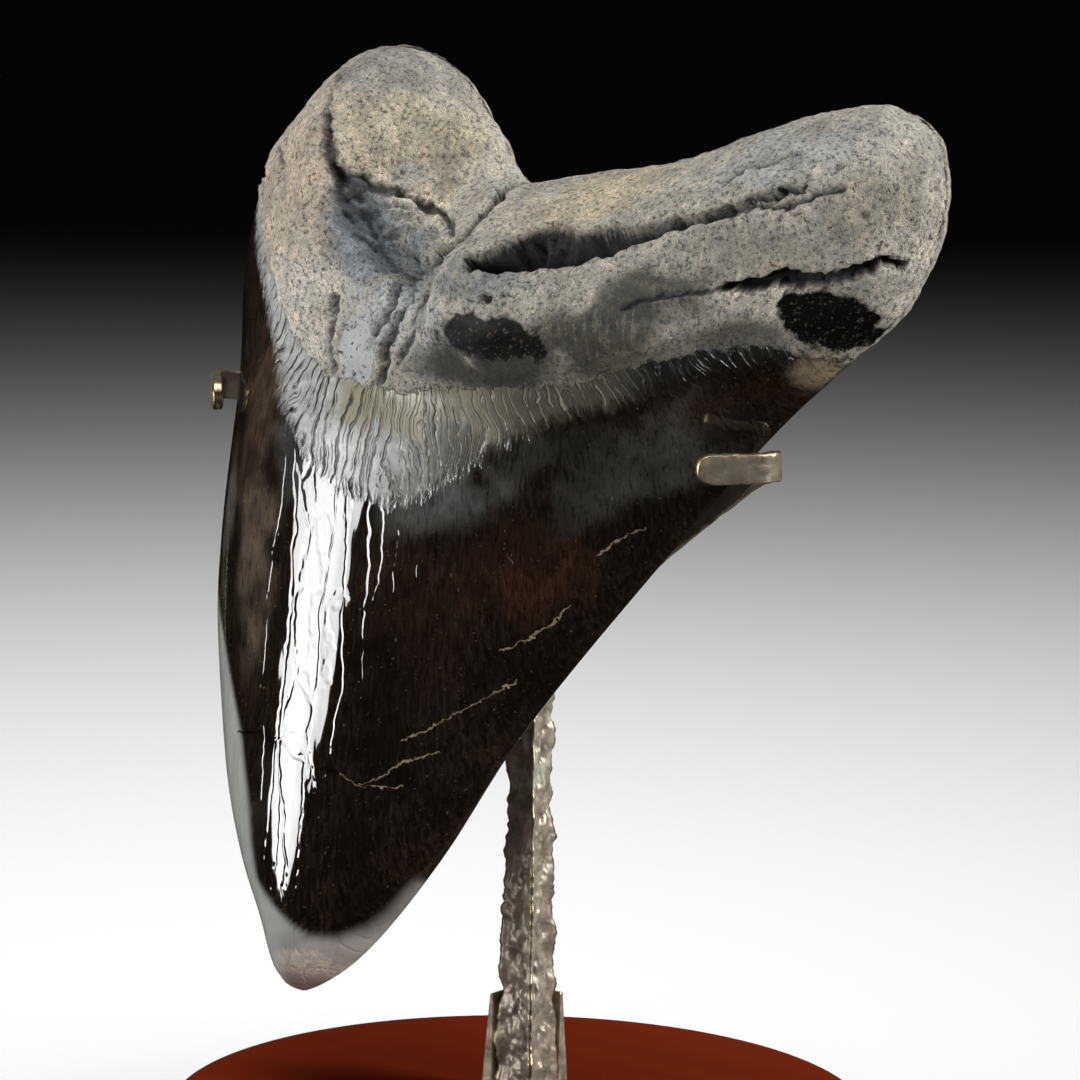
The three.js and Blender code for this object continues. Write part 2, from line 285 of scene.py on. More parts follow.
def mound(x, z, at_x, at_z, wide, high, turned=0):
    """Bell-shaped bump of height 1, with its half width and half height."""
    a = math.radians(turned)
    along = (x - at_x) * math.cos(a) + (z - at_z) * math.sin(a)
    across = (z - at_z) * math.cos(a) - (x - at_x) * math.sin(a)
    return np.exp(-(along / wide) ** 2 - (across / high) ** 2)


def to_stretch(x, z, start, end):
    """Distance to a straight stretch, and the nearest point's share of the way along it."""
    (ax, az), (bx, bz) = start, end
    ux, uz = bx - ax, bz - az
    t = np.clip(((x - ax) * ux + (z - az) * uz) / (ux * ux + uz * uz), 0, 1)
    return np.hypot(x - ax - t * ux, z - az - t * uz), t


inward = np.full(len(X), np.inf)
rim_points = outline[::4]
for start, end in zip(rim_points, np.roll(rim_points, -1, 0)):
    inward = np.minimum(inward, to_stretch(X, Z, start, end)[0])


def edge_round(radius):
    """A quarter circle of this radius, from 0 at the outline to 1 inside."""
    t = np.minimum(inward / radius, 1)
    return np.sqrt(1 - (1 - t) ** 2)


right_side = outline[:(len(RIGHT_EDGE) - 1) * OUTLINE_STEPS + 1]
left_side = np.vstack([outline[-len(LEFT_EDGE) * OUTLINE_STEPS:], outline[:1]])[::-1]
left_x = np.interp(Z, left_side[:, 1], left_side[:, 0])
right_x = np.interp(Z, right_side[:, 1], right_side[:, 0])
across = np.clip((2 * X - left_x - right_x) / np.maximum(right_x - left_x, 0.1), -1, 1)
drift = RIDGE_DRIFT * smoothstep(DRIFT_FROM, DRIFT_TO, Z)
fullness = ROUND_POWER + (LENS_POWER - ROUND_POWER) * smoothstep(ROUND_TO, LENS_FROM, Z)
lens = (1 - (across + drift * (1 - across ** 2)) ** 2) ** fullness
crown = CROWN_FOOT_T + CROWN_TAPER * Z - TIP_BLUNT * np.exp(-np.maximum(Z, 0) / TIP_REACH)
bead = CUTTING_EDGE_ROUND * edge_round(2)
slab = ROOT_SLAB + sum(s[4] * mound(X, Z, s[0], s[1], s[2], s[3], s[5]) for s in SWELLINGS)
root_share = smoothstep(CROWN_TOP, ROOT_BOTTOM, Z)
front = (1 - root_share) * crown * lens + root_share * slab * edge_round(ROOT_EDGE_R)
back = np.maximum(table(CROWN_BACK, Z) - CUTTING_EDGE_ROUND, 0) * edge_round(6)
Y = CUTTING_EDGE_Y + np.where(on_front, -bead - front, bead + back)
print("thickest at", round(-Y.min(), 1), "mm")

# %% [markdown]
# ## Where the band lies
# The bourlette is a chevron of thin, finely cracked enamel under the root's bulge.
# Each vertex stores how far it is above the band's top edge and above its foot, in
# millimetres. A material can then draw a crisp, ragged edge from those smooth numbers.

# %% Band heights
BAND_TOP = [(-56, 114), (-50, 111), (-46, 107.5), (-40, 100.5), (-36, 95.5), (-32, 91.5),
            (-24, 87), (-10, 86), (4, 88), (17, 90), (28, 94), (36, 97), (43, 99), (50, 98.5), (60, 98)]
BAND_FOOT = [(-56, 113), (-50, 110), (-47, 106.5), (-43, 100.5), (-38, 92.5), (-32, 83.3),
             (-25, 77), (-18, 72), (-10, 70.5), (-6, 71.5), (0, 76), (7, 81), (16, 86), (22, 88),
             (36, 94), (43, 97), (50, 98), (60, 97.5)]
BACK_EDGE = [(-56, 110), (-40, 104), (-20, 99), (0, 97.5), (20, 98), (40, 99), (60, 98)]


def height_over(x, z, edge):
    """Distance above a line drawn across the tooth, positive towards the root."""
    slope = (table(edge, x + 1) - table(edge, x - 1)) / 2
    return (z - table(edge, x)) / np.sqrt(1 + slope ** 2)


over_top = np.where(on_front, height_over(X, Z, BAND_TOP), height_over(X, Z, BACK_EDGE))
over_foot = np.where(on_front, height_over(X, Z, BAND_FOOT), over_top + 0.8)
print("vertices on the band:", int(((over_foot > 0) & (over_top < 0)).sum()))

# %% [markdown]
# ## Fissures
# Root dentine dried, split and was buried, so it has long ragged cracks. Each is a
# line of points with a half width at every point. The points the line is measured
# from are shaken with noise first, which makes the crack wander and fray. Each crack
# is sunk and gets painted shade. The valley between the lobes is wide and open, so it
# is sunk but gets only light painted shade. The deepest fissures also get near-black
# painted shade on their floor, where no light reaches.

# %% Fissures
FISSURES = {
    # depth in mm, then (x, z, half width) along the crack
    "lobe": (1.2, [(-34, 130, 0.25), (-31.5, 125, 0.35), (-30, 121, 0.5), (-28.5, 117.5, 0.8),
                   (-27, 115, 1.2)]),
    "valley": (2.0, [(-27, 115.5, 0.9), (-25.5, 112.5, 1.9), (-23, 109.5, 2.6), (-20, 107, 2.6),
                     (-16, 104.5, 2.4), (-11, 103, 2.2), (-6.5, 103.2, 1.4), (-3.5, 104.5, 0.8)]),
    "valley_line": (2.2, [(-27, 115.5, 0.35), (-25.2, 112, 0.6), (-22.4, 109.4, 0.6), (-19, 106.2, 0.4),
                          (-15, 103.6, 0.5), (-10, 102.4, 0.6), (-6.5, 103.4, 0.5)]),
    "ledge": (0.9, [(-26, 115, 0.5), (-21.5, 113.5, 0.9), (-17, 112.5, 0.6), (-12, 110.5, 0.6),
                    (-8, 109.3, 0.7), (-5, 108, 0.5)]),
    "join": (2.6, [(-8, 104, 1.6), (-4, 106, 0.9), (-1, 108, 0.8), (-3, 112.5, 0.7), (-6, 116.5, 0.8)]),
    "long": (6.0, [(1.5, 104.6, 0.7), (4, 105.4, 1.4), (8, 106.6, 2.3), (12.5, 108.2, 2.9), (18, 109.2, 2.6),
                   (23, 110.4, 1.9), (29, 112.4, 1.3), (36, 115, 0.7), (43, 118, 0.5), (50, 121, 0.3)]),
    "upper": (0.9, [(31, 113.2, 0.3), (37, 115, 0.35), (44, 117, 0.35), (55, 121, 0.3)]),
    "top": (0.7, [(36, 120.5, 0.25), (42, 123, 0.3), (48, 126.5, 0.25)]),
    "lower": (2.4, [(40, 105.9, 0.4), (44, 107, 0.7), (49, 108, 1.1), (55, 110, 0.7), (60, 113, 0.3)]),
    "faint": (0.6, [(27, 101.6, 0.3), (31, 103.6, 0.35), (36, 105.4, 0.3), (41, 106, 0.3)]),
    "furrow": (1.6, [(-8.5, 101.5, 0.9), (-9.5, 97, 1.0), (-11, 92.5, 1.0), (-13, 87.5, 0.8)]),
    "furrow_left": (1.1, [(-12.5, 100.5, 0.7), (-13, 96, 0.9), (-15, 92, 0.7)]),
    "furrow_right": (0.7, [(-4.5, 99.5, 0.5), (-6.5, 95, 0.7), (-8.5, 90.5, 0.6)]),
    "lobe_edge": (0.9, [(-24, 98, 0.3), (-22.8, 94, 0.5), (-22.5, 88, 0.5)]),
    "nick": (1.0, [(-50.5, 114.5, 1.0), (-47, 112.5, 0.8), (-44.5, 110.5, 0.3)]),
    "scratch": (0.5, [(-44.5, 117, 0.25), (-41, 115.5, 0.35), (-39, 112.5, 0.3)]),
}


def fractal(points, size, octaves):
    """Smooth noise from about -1 to 1, with lumps of this size in mm."""
    return np.array([noise.fractal(Vector(p), 0.9, 2.1, octaves) for p in points / size])


def crack_reach(x, z, line):
    """Distance from a crack's line as a share of its half width there."""
    best = np.full(len(x), np.inf)
    for (*start, aw), (*end, bw) in zip(line, line[1:]):
        apart, t = to_stretch(x, z, start, end)
        best = np.minimum(best, apart / (aw + t * (bw - aw)))
    return best


skin = np.stack([X, Y, Z], 1)
shake = np.stack([fractal(skin + shift, 3.2, 4) for shift in ([0, 0, 0], [40, 0, 9])], 1)
WANDER_MM = 0.9
VALLEY_SHADE = 0.3
UNLIT_FROM = 2.2
fissure_shade = np.zeros(len(X))
crack_depth = np.zeros(len(X))
deep_shade = np.zeros(len(X))
# Each fissure is sunk, and painted shade is laid in it: lighter in the open valley, near black on the floors
# of the deepest.
for name, (depth, line) in FISSURES.items():
    reach = crack_reach(X + WANDER_MM * shake[:, 0], Z + WANDER_MM * shake[:, 1], line)
    open_part = (1 - smoothstep(0.55, 1.25, reach)) * on_front
    shade_strength = VALLEY_SHADE if name == "valley" else 1
    fissure_shade = np.maximum(fissure_shade, smoothstep(0.3, 0.7, open_part) * shade_strength)
    crack_depth = np.maximum(crack_depth, open_part * depth)
    if depth > UNLIT_FROM:
        deep_shade = np.maximum(deep_shade, smoothstep(0.6, 1.5, open_part * depth))
print("vertices in fissures:", int((fissure_shade > 0.5).sum()))

# %% [markdown]
# ## Relief of the root
# Relief is added along the surface's own direction. From coarse to fine: the root's
# rim that stands proud of the band, lumps and hollows, fine grain, one nutrient hole
# with its small pits, and the fissures. Polished spots are left smooth. Broken stone
# lies in the valley and in the long fissure, as sharp lumps of about 3 mm. A Voronoi
# pattern gives them: its cells meet in creases, as broken faces do.

# %% Relief
DENTS = [
    # x, z, half width, half height, depth, turn in degrees
    (9, 95.8, 9.5, 3.2, 0.25, 4),
    (51.3, 103.6, 5.6, 4.2, 0.3, 28),
    (-18, 90.5, 3.6, 5.0, 0.5, 8),
]
# x, z, radius, depth
PITS = [(8, 100.2, 0.75, 2.2), (10.5, 100.8, 0.4, 0.8), (5.6, 99.6, 0.35, 0.7), (53, 124, 0.6, 0.8),
        (47, 116, 0.4, 0.5), (57, 118, 0.5, 0.6)]
RIM_MM, LUMP_MM, KNOB_MM, GRAIN_RELIEF_MM = 0.8, 0.4, 0.16, 0.2
RUBBLE_SIZE, RUBBLE_MM = 3.1, 2.4
BAND_GROOVE_MM = 0.1

tooth_mesh.vertices.foreach_set("co", skin.ravel())
tooth_mesh.update()
normals = rows_of(tooth_mesh, "vertex_normals", "vector")

on_root = smoothstep(-0.6, 1.6, over_top)
spot_fray = 0.22 * fractal(skin + 15, 5, 4)
polish = [smoothstep(0.22, 0.62, mound(X, Z, x, z, wide, high, turn) + spot_fray) * on_front
          for x, z, wide, high, depth, turn in DENTS]
smooth_spot = np.max(polish, axis=0)
rough = on_root * (1 - 0.8 * smooth_spot)
lumps = fractal(skin, 13, 3)
knobs = fractal(skin + 33, 4.5, 3)
fine_grain = fractal(skin + 70, 1.6, 5)
rim = smoothstep(0, 3, over_top) * (1 - smoothstep(6, 13, over_top)) * (1 - smoothstep(38, 46, X))
relief = on_root * (RIM_MM * rim * on_front + LUMP_MM * lumps + KNOB_MM * knobs)
relief += rough * GRAIN_RELIEF_MM * fine_grain - crack_depth
for spot, dent in zip(polish, DENTS):
    relief -= dent[4] * spot
for at_x, at_z, radius, depth in PITS:
    relief -= depth * on_front * np.exp(-(np.hypot(X - at_x, Z - at_z) / radius) ** 4)
broken = np.maximum(mound(X, Z, -15, 106.5, 12, 5.5, -35), 0.8 * mound(X, Z, 9, 106.5, 9, 2.5, 15))
broken *= on_front
rubble = np.zeros(len(X))
for at in np.flatnonzero(broken > 0.05):
    near = noise.voronoi(Vector((skin[at] + 1.2 * shake[at, 0]) / RUBBLE_SIZE))[0]
    rubble[at] = near[1] - near[0]
relief += smoothstep(0.1, 0.6, broken) * (RUBBLE_MM * np.minimum(rubble, 0.6) - 0.6)
band_share = smoothstep(-1, 1.5, over_foot) * (1 - on_root) * on_front
relief -= band_share * BAND_GROOVE_MM * np.maximum(fractal(skin * [2.6, 0.5, 0.45], 3.2, 3), 0)
skin += normals * relief[:, None]
print("relief from", round(relief.min(), 2), "to", round(relief.max(), 2), "mm")

# %% [markdown]
# ## Stains
# Minerals from the sediment coloured the tooth unevenly: tan and grey over the root,
# brown and smoky clouds in the enamel. The root is also painted a darker slate blue in
# its hollows. Each stain is a soft patch, and noise frays its edge. Root and enamel have
# a coat each, so that neither bleeds into the other where they meet. The left edge and
# the tip of the crown are painted grey, partly as wear and partly as a painted
# reflection. Two lists of points say where that grey ends.

# %% Stains
ROOT_STAINS = [
    # x, z, half width, half height, turn, colour, strength
    (-34, 113, 13, 15, 0, "#c6b5a0", 0.85), (-20, 121, 10, 8, -20, "#b5aa93", 0.8),
    (-27, 130.5, 10, 4.5, 0, "#94928a", 0.85), (-31, 95, 9, 9, 0, "#e6dfd4", 0.85),
    (-16.5, 110.8, 5.5, 2.8, -20, "#fff2d6", 0.95), (-19, 106, 10, 5.5, -30, "#7a848c", 0.9),
    (-24, 111, 3, 5, 30, "#697279", 0.9), (-14, 97, 8, 6, 0, "#b7bec3", 0.8),
    (2, 102.5, 12, 3.2, 0, "#7c8386", 0.85), (-3, 94, 5, 6, 0, "#b0b4b5", 0.8),
    (13, 93, 16, 4.6, 5, "#35311f", 0.9), (25, 99, 10, 5, 20, "#444134", 0.85),
    (5, 90.5, 13, 3, 3, "#3a3728", 0.9), (22, 95, 12, 4, 12, "#474233", 0.85),
    (31, 96, 10, 2, 18, "#76715f", 0.6),
    (14, 116, 13, 4.5, 10, "#cfc1a6", 0.85), (31, 119.5, 12, 5, 15, "#c0bbab", 0.7),
    (44, 125, 13, 5, 15, "#b2b5b3", 0.8), (58, 117, 6, 9, 0, "#98917f", 0.7),
    (31, 104, 10, 3.4, 20, "#423f35", 0.9), (46, 111, 8, 3, 15, "#b5ad9a", 0.6),
    (61, 110, 5, 8, 0, "#d8d1c2", 0.8), (45, 106.5, 8, 2.6, 15, "#e2dac9", 0.9),
    (40, 98.5, 7, 3, 15, "#48443b", 0.8), (48.5, 97.5, 4, 1.8, 40, "#93826a", 0.9),
]
ENAMEL_STAINS = [
    (-37, 80, 5, 12, 0, "#574538", 0.8), (-33, 62, 5, 15, 0, "#776858", 0.8),
    (-43, 62, 2.5, 13, 0, "#6a655c", 0.85), (-27, 74, 4, 6, 30, "#5b5d5b", 0.7),
    (-2, 72, 12, 4.5, 25, "#666a66", 0.9), (12, 80.5, 10, 2.8, 28, "#3a3b37", 0.7),
    (-6, 57, 9, 13, 20, "#2e2019", 0.8), (9, 64, 10, 7, 40, "#3c2418", 0.8),
    (-2, 42, 12, 13, 30, "#211a15", 0.5), (17, 76, 8, 4, 40, "#4a4a45", 0.7),
    (27, 82.5, 10, 4.5, 30, "#61615a", 0.75), (34, 88.5, 9, 3.5, 25, "#54534b", 0.6),
    (38, 91, 9, 2.5, 30, "#2a160c", 0.7), (-30, 22, 4, 12, -20, "#3c3a36", 0.6),
    (48.6, 96.8, 3.4, 2, 40, "#a8967a", 0.95),
]
STAIN_FRAY = 0.8
BACK_STAIN, BACK_WEAR_AND_REFLECTION_INSET = 0.4, 7


def stained(base, stains):
    """A colour for every vertex: the base tone with all these stains laid over it."""
    coat = np.tile(np.array(colour(base)[:3]), (len(X), 1))
    for x, z, wide, high, turn, shade, strength in stains:
        patch = mound(X, Z, x, z, wide, high, turn) * (1 + STAIN_FRAY * fray)
        amount = strength * smoothstep(0.15, 0.8, patch) * np.where(on_front, 1, BACK_STAIN)
        coat += amount[:, None] * (np.array(colour(shade)[:3]) - coat)
    return coat


# Where the worn and painted-reflection grey of the left flank ends, as (height, x).
FLANK_WEAR_AND_REFLECTION = [(9, -19), (12.3, -23.7), (15.2, -27.7), (20, -29.5), (26, -30.7), (35, -33.8),
              (41, -37.4), (48, -41.8), (54, -46.5), (60, -52)]
# Where the worn and painted-reflection grey of the tip ends, as (x, height).
TIP_WEAR_AND_REFLECTION = [(-19, 8.7), (-16.5, 8.7), (-13.8, 10.7), (-11.7, 13.1), (-8.6, 17.6), (-6, 18)]
fray = fractal(skin + 90, 7, 5)
# Grey on the left flank and the tip: partly wear, partly a painted reflection.
flank_wear_and_reflection = smoothstep(-1, 1, table(FLANK_WEAR_AND_REFLECTION, Z) - X - np.where(on_front, 0, BACK_WEAR_AND_REFLECTION_INSET))
tip_wear_and_reflection = smoothstep(-1, 1, table(TIP_WEAR_AND_REFLECTION, X) - Z)
coats = {"root_coat": stained("#b9b4a7", ROOT_STAINS), "enamel_coat": stained("#1a130e", ENAMEL_STAINS)}
tip_spot = smoothstep(0.3, 0.9, mound(X, Z, -20.5, 4.5, 3.4, 2.8, 0) * (1 + 0.9 * fray))
print("coats' mean tones:", {name: coat.mean(0).round(3) for name, coat in coats.items()})

# %% [markdown]
# ## Along the band
# The bourlette's cracks stand square to its upper edge. Each vertex stores how far
# along that edge it lies, so that the cracks can be drawn at right angles to it.

# %% Along the band
fine_x = np.linspace(-56, 60, 400)
fine_top = table(BAND_TOP, fine_x)
for _ in range(30):
    fine_top[1:-1] = (fine_top[:-2] + 2 * fine_top[1:-1] + fine_top[2:]) / 4
path_length = np.concatenate([[0], np.cumsum(np.hypot(np.diff(fine_x), np.diff(fine_top)))])
lean_in = np.gradient(fine_top, fine_x)
foot_x = X.copy()
for _ in range(4):
    slope = np.interp(foot_x, fine_x, lean_in)
    foot_x = 0.5 * foot_x + 0.5 * (X + 0.75 * slope * (Z - np.interp(foot_x, fine_x, fine_top)))
along_band = np.interp(foot_x, fine_x, path_length)
print("band is", round(path_length[-1]), "mm long")

# %% [markdown]
# ## Standing the tooth on its stand
# The finished skin is leaned back, moved to its place and then matched to the solid
# tooth's box, so that the two agree to a hair. Numbers that the material will need
# are stored on the vertices.

# %% Place the tooth
TOOTH_LEAN = math.radians(12)
TOOTH_AT = Vector((0, -13 * MM, BASE_TOP + 14.7 * MM))
lean = np.array(Matrix.Rotation(-TOOTH_LEAN, 3, "X"))
placed = skin * MM @ lean.T + np.array(TOOTH_AT)
solid_low, solid_high = (np.array(c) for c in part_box("tooth"))
ratio = (solid_high - solid_low) / np.ptp(placed, axis=0)
placed = solid_low + (placed - placed.min(0)) * ratio
tooth_mesh.vertices.foreach_set("co", placed.ravel())
tooth_mesh.update()
stored = {
    "over_top": over_top, "over_foot": over_foot, "fissure_shade": fissure_shade, "deep_shade": deep_shade,
    # The white spot, whose pale colour is partly a painted highlight.
    "polish": np.maximum(polish[0], polish[1]), "white_spot_and_highlight": polish[2],
    # The hollow between the left lobe and the bulge, painted a darker slate blue.
    "hollow": smoothstep(0.1, 0.9, mound(X, Z, -15, 106, 10, 5, -30)) * on_front,
    "front": on_front.astype(float), "along_band": along_band,
    "wear_and_reflection_edge": np.maximum(flank_wear_and_reflection, tip_wear_and_reflection), "tip_spot": tip_spot,
}
for name, values in stored.items():
    own = tooth_mesh.attributes.new(name, "FLOAT", "POINT")
    own.data.foreach_set("value", values.astype(np.float32))
own = tooth_mesh.attributes.new("tooth_mm", "FLOAT_VECTOR", "POINT")
own.data.foreach_set("vector", skin.astype(np.float32).ravel())
for name, coat in coats.items():
    opaque = np.concatenate([coat, np.ones((len(X), 1))], 1).astype(np.float32)
    tooth_mesh.attributes.new(name, "FLOAT_COLOR", "POINT").data.foreach_set("color", opaque.ravel())
print("stretch to the solid's box:", ratio.round(4))

# %% [markdown]
# ## Fossil material
# The crown is fluorapatite enamel, ground and buffed until it mirrors the room: almost
# black, with a faint upright fibre and pale specks. The bourlette is grey, split by
# fine cracks, and only half shiny. The root is porous dentine turned to stone: matt,
# grainy, and dark where it was broken open or buffed. Three small helpers serve all
# three zones: stretched noise, a mask with a ragged edge, and coats of paint.

# %% Fossil: zones
APATITE_IOR = 1.63
fossil, tree = new_material("polished_fossil")
point = add(tree, "Attribute", output="Vector", attribute_name="tooth_mm")
field = {name: add(tree, "Attribute", output="Fac", attribute_name=name) for name in stored}
coat = {name: add(tree, "Attribute", output="Color", attribute_name=name) for name in coats}


def stretched_noise(tree, at, per_mm, detail, roughness, shift=(0, 0, 0), output=None):
    """Noise whose lumps have their own size along x, y and z."""
    squeezed = add(tree, "Mapping", {"Vector": at, "Location": shift, "Scale": per_mm})
    return add(tree, "TexNoise", (squeezed, 1, detail, roughness), output=output)


def ragged(tree, value, jitter, reach, low, high, full=1.0, **settings):
    """A mask that rises as the value passes from low to high, its edge moved by noise."""
    shift = add(tree, "MapRange", (jitter, 0.3, 0.7, -reach, reach))
    moved = add(tree, "Math", (value, shift), operation="ADD")
    return add(tree, "MapRange", (moved, low, high, 0, full), **settings)


def paint(tree, ground, *layers):
    """Lays colours over a ground. A layer is an amount, a colour and perhaps a way to blend."""
    for amount, tone, *blend in layers:
        blend_type = blend[0] if blend else "MIX"
        ground = add(tree, "Mix", (amount, ground, tone), data_type="RGBA", blend_type=blend_type)
    return ground


edge_noise = add(tree, "TexNoise", (point, 0.55, 5, 0.62))
fringe = stretched_noise(tree, point, (1.2, 0.5, 0.35), 4, 0.6)
root_here = ragged(tree, field["over_top"], edge_noise, 0.9, -0.3, 0.3, interpolation_type="SMOOTHSTEP")
band_here = ragged(tree, field["over_foot"], fringe, 0.8, -1.3, 1.7, interpolation_type="SMOOTHSTEP")
band_only = add(tree, "Math", (band_here, root_here), operation="SUBTRACT", use_clamp=True)
print("zones drawn from", len(field), "stored numbers and", len(coat), "coats")

# %% [markdown]
# The enamel shows fibres about half a millimetre wide and tiny pale specks. Its left
# edge and tip are painted grey, which is partly wear and partly a painted reflection,
# with a pale bruise on the tip. Buffing left long shallow facets, and fine grooves
# between them, which break up a reflection.

# %% Fossil: enamel
fibre = stretched_noise(tree, point, (2.6, 1.0, 0.3), 4, 0.7)
fleck = add(tree, "TexNoise", (point, 2.2, 2, 0.5))
smoke = add(tree, "TexNoise", (point, 0.09, 6, 0.62))
cloudy = add(tree, "MapRange", (smoke, 0.35, 0.65))
bruise_rays = add(tree, "MapRange", (fibre, 0.4, 0.6, 0.2, 0.9))
enamel = paint(
    tree, coat["enamel_coat"],
    (add(tree, "MapRange", (fibre, 0.45, 0.8, 0, 0.45)), "#55463a"),
    (add(tree, "MapRange", (smoke, 0.35, 0.62, 0.8, 0)), "#120e0b"),
    (add(tree, "MapRange", (fibre, 0.5, 0.36, 0, 0.6)), "#0d0b09"),
    (add(tree, "MapRange", (fleck, 0.7, 0.76, 0, 0.5)), "#8f8470"),
    # The left edge and tip: grey that is partly wear and partly a painted reflection.
    (add(tree, "Math", (field["wear_and_reflection_edge"], 0.95), operation="MULTIPLY"),
     paint(tree, "#a6a8a4", (cloudy, "#bcbeb9"))),
    (add(tree, "Math", (field["tip_spot"], bruise_rays), operation="MULTIPLY"), "#e6e4cf"),
)
facet_space = add(tree, "Mapping", {"Vector": point, "Scale": (0.3, 0.12, 0.036)})
facet_warp = stretched_noise(tree, point, (0.12, 0.1, 0.1), 3, 0.55, output="Color")
facet_at = add(tree, "VectorMath", (facet_space, facet_warp), operation="ADD")
facet_gap = add(tree, "TexVoronoi", (facet_at, 1), feature="DISTANCE_TO_EDGE")
groove = add(tree, "MapRange", (facet_gap, 0, 0.09, 1, 0), interpolation_type="SMOOTHSTEP")
swell = stretched_noise(tree, point, (0.22, 0.1, 0.05), 2, 0.5, (7, 3, 1))

# %% [markdown]
# Some hairline cracks in the enamel are filled with pale mineral, and one is open and
# dark. Each is a chain of straight stretches between given points, and the place
# it is looked up at is shaken a little so that it wanders.

# %% Fossil: hairlines
PALE_HAIRS = [
    [(-6.4, 38.1), (-3.8, 39.9), (-1, 42.3), (2.6, 45.1), (6.6, 48.6)],
    [(-14.9, 32.5), (-12.4, 30.9), (-9.5, 32.5), (-6.3, 35.4), (-2.6, 37.2)],
    [(-12, 30.9), (-9, 31.3), (-6.5, 31.9)],
    [(5.6, 52.6), (8.8, 54.7), (11, 56.6), (14.2, 60.4)],
    [(18, 67.5), (20, 69.6), (24, 72.5)],
    [(-43, 66), (-42, 57), (-41, 48), (-38.6, 40), (-34.7, 35.2), (-37, 27), (-36, 20)],
]
DARK_HAIRS = [
    [(-34.7, 35.2), (-29.5, 35.9), (-25.4, 34.9), (-21.5, 33.6), (-18.5, 32.7), (-14.9, 32.4)],
]
WANDER = 1.7
FACE_ON = (1, 0, 1)
FAR = 50.0
shaking = add(tree, "TexNoise", (point, 0.9, 4, 0.6), output="Color")
shaking = add(tree, "VectorMath", (shaking, (0.5, 0.5, 0.5)), operation="SUBTRACT")
shaking = add(tree, "VectorMath", (shaking, WANDER), operation="SCALE")
shaken = add(tree, "VectorMath", (point, shaking), operation="ADD")
shaken = add(tree, "VectorMath", (shaken, FACE_ON), operation="MULTIPLY")


def hair_distance(tree, at, hairs):
    """Distance in mm from a point to the nearest stretch of any of these hairlines."""
    nearest = FAR
    for hair in hairs:
        for (ax, az), (bx, bz) in zip(hair, hair[1:]):
            span = Vector((bx - ax, 0, bz - az))
            from_a = add(tree, "VectorMath", (at, (ax, 0, az)), operation="SUBTRACT")
            along = span / span.length_squared
            share = add(tree, "VectorMath", (from_a, along), operation="DOT_PRODUCT")
            share = add(tree, "Math", (share, 1), operation="MULTIPLY", use_clamp=True)
            foot = add(tree, "VectorMath", (span, share), operation="SCALE")
            apart = add(tree, "VectorMath", (from_a, foot), operation="DISTANCE")
            nearest = add(tree, "Math", (apart, nearest), operation="MINIMUM")
    return nearest


hair_noise = add(tree, "TexNoise", (point, 0.4, 3, 0.5))
thicker = add(tree, "MapRange", (hair_noise, 0.35, 0.65, -0.02, 0.08))
pale_gap = add(tree, "Math", (hair_distance(tree, shaken, PALE_HAIRS), thicker), operation="SUBTRACT")
pale_hair = add(tree, "MapRange", (pale_gap, 0, 0.07, 0.8, 0))
dark_hair = add(tree, "MapRange", (hair_distance(tree, shaken, DARK_HAIRS), 0.1, 0.28, 0.9, 0))
enamel = paint(
    tree, enamel,
    (add(tree, "Math", (pale_hair, field["front"]), operation="MULTIPLY"), "#a89876"),
    (add(tree, "Math", (dark_hair, field["front"]), operation="MULTIPLY"), "#060505"),
)
print(len(PALE_HAIRS), "pale hairlines and", len(DARK_HAIRS), "dark")

# %% [markdown]
# The band has cracks about one and a half millimetres apart, and finer ones between.
# To the left they are open and dark, and to the right pale mineral fills them. Under
# the root's rim lies a row of olive plates, and the band grows dull towards the right.

# %% Fossil: band
BAND_CRACKS = [
    # per mm, width, strength, then the scale, shift, low and high of the patches with cracks
    (0.62, 0.13, 1, (0.5, 0.4, 0.16), (5, 0, 3), 0.4, 0.52),
    (1.7, 0.16, 0.75, (0.6, 0.4, 0.22), (1, 0, 9), 0.46, 0.6),
]
sideways_mm = add(tree, "SeparateXYZ", (point,), output="X")
sway = stretched_noise(tree, point, (0.16, 0.1, 0.13), 3, 0.5)
sway = add(tree, "MapRange", (sway, 0.3, 0.7, -1.1, 1.1))
crack_at = add(tree, "Math", (field["along_band"], sway), operation="ADD")
crack_line = 0
for per_mm, width, strength, patch_scale, patch_shift, low, high in BAND_CRACKS:
    gap = add(tree, "TexVoronoi", (crack_at, per_mm), voronoi_dimensions="1D", feature="DISTANCE_TO_EDGE")
    line = add(tree, "MapRange", (gap, 0.05, width, strength, 0))
    patches = stretched_noise(tree, point, patch_scale, 3, 0.6, patch_shift)
    present = add(tree, "MapRange", (patches, low, high))
    line = add(tree, "Math", (line, present), operation="MULTIPLY")
    crack_line = add(tree, "Math", (line, crack_line), operation="MAXIMUM")
plate = add(tree, "TexVoronoi", (crack_at, BAND_CRACKS[0][0]), output="Color", voronoi_dimensions="1D")
plate = add(tree, "SeparateXYZ", (plate,), output="X")

